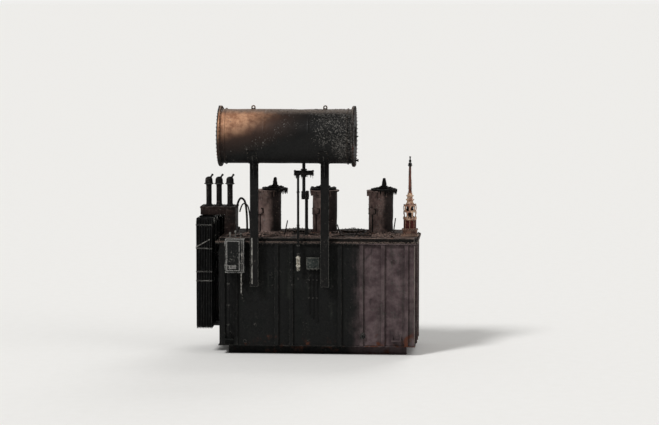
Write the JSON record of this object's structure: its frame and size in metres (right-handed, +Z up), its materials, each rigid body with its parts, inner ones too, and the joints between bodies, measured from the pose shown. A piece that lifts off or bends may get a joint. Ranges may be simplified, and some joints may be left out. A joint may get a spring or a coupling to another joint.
{
  "type": "power transformer",
  "caption": "Oil-filled power transformer after a fire: ribbed tank on skids, conservator on columns, burnt turrets and bushings, end radiators and a hinged control cabinet.",
  "frame": {"origin": "on the ground under the middle of the tank, on the underside of the middle skid beam", "axes": "+X along the tank away from the radiators, -Y towards the conservator's side, +Z up"},
  "size_m": [6.21, 3.8, 6.976],
  "materials": {
    "sooted_paint": "painted steel, soot black, matt",
    "scorched_paint": "scorched grey-brown paint, matt",
    "ash_coated_steel": "burnt paint under pink-brown ash and rust",
    "burnt_shell": "tan burnt paint fading into soot",
    "sooted_cover": "soot with reddish-brown rust",
    "burnt_fitting": "charred metal and porcelain, matt",
    "burnt_box": "dark red-brown burnt paint",
    "burnt_porcelain": "cracked brown and cream porcelain",
    "sooted_radiator": "soot-black pressed steel",
    "pale_housing": "smoke-stained off-white"
  },
  "bodies": {
    "transformer": {"skid_beam_front": "sooted_paint", "skid_beam_rear": "sooted_paint", "skid_cross_beam": "sooted_paint", "tank_floor": "sooted_paint", "tank_front_wall": "sooted_paint", "tank_rear_wall": "sooted_paint", "tank_left_wall": "sooted_paint", "conservator_leg_left": "sooted_paint", "conservator_leg_right": "sooted_paint", "conservator_valve": "sooted_paint", "oil_pipe_upper": "sooted_paint", "oil_pipe_lower": "sooted_paint", "gas_relay": "sooted_paint", "breather_pipe": "sooted_paint", "radiator_riser_1": "sooted_paint", "radiator_riser_2": "sooted_paint", "radiator_riser_3": "sooted_paint", "radiator_riser_4": "sooted_paint", "cabinet_body": "sooted_paint", "cabinet_conduit": "sooted_paint", "tank_right_wall": "scorched_paint", "junction_box": "scorched_paint", "tank_cover": "ash_coated_steel", "hv_turret_1": "ash_coated_steel", "hv_turret_2": "ash_coated_steel", "hv_turret_3": "ash_coated_steel", "neutral_bushing_base": "ash_coated_steel", "conservator_shell": "burnt_shell", "conservator_cover_left": "sooted_cover", "conservator_cover_right": "sooted_cover", "oil_level_gauge": "sooted_cover", "hv_bushing_1": "burnt_fitting", "hv_bushing_2": "burnt_fitting", "hv_bushing_3": "burnt_fitting", "lv_bushing_1": "burnt_fitting", "lv_bushing_2": "burnt_fitting", "lv_bushing_3": "burnt_fitting", "lv_box": "burnt_box", "neutral_bushing": "burnt_porcelain", "radiator_1": "sooted_radiator", "radiator_2": "sooted_radiator", "radiator_3": "sooted_radiator", "radiator_4": "sooted_radiator", "breather": "pale_housing"},
    "door": {"cabinet_door": "sooted_paint"}
  },
  "joints": [
    {"name": "cabinet_door_hinge", "type": "hinge", "parent": "transformer", "child": "door", "pos_m": [-2.518, -1.716, 2.81], "axis": [0, 0, -1], "range_deg": [0, 115]}
  ]
}
